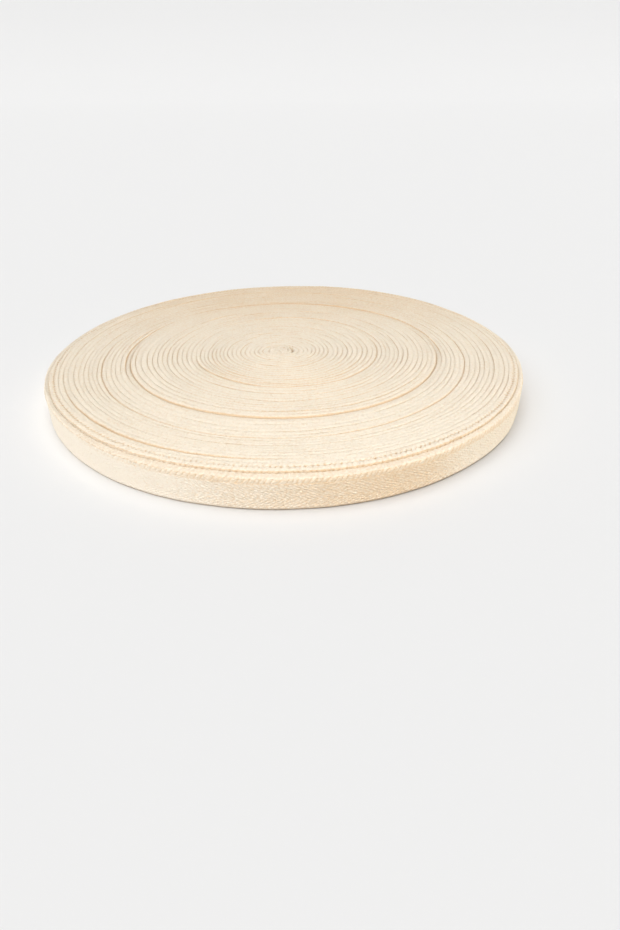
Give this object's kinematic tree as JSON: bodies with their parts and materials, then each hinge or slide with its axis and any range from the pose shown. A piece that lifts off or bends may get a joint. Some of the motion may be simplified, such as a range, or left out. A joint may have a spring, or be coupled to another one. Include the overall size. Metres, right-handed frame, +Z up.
{
  "type": "roll of cotton herringbone tape",
  "caption": "Flat round roll of undyed cotton herringbone tape, wound on itself from a small folded heart and lying on its side.",
  "frame": {"origin": "centre of the roll's bounding box, on the surface that it lies on", "axes": "+Z up along the roll's axis, -Y towards the viewer, +X to the viewer's right"},
  "size_m": [0.16, 0.1594, 0.01],
  "materials": {
    "cotton_tape": "matt undyed cotton, herringbone weave, warm tan in the gaps between turns"
  },
  "bodies": {
    "root": {"tape_roll": "cotton_tape"}
  },
  "joints": []
}
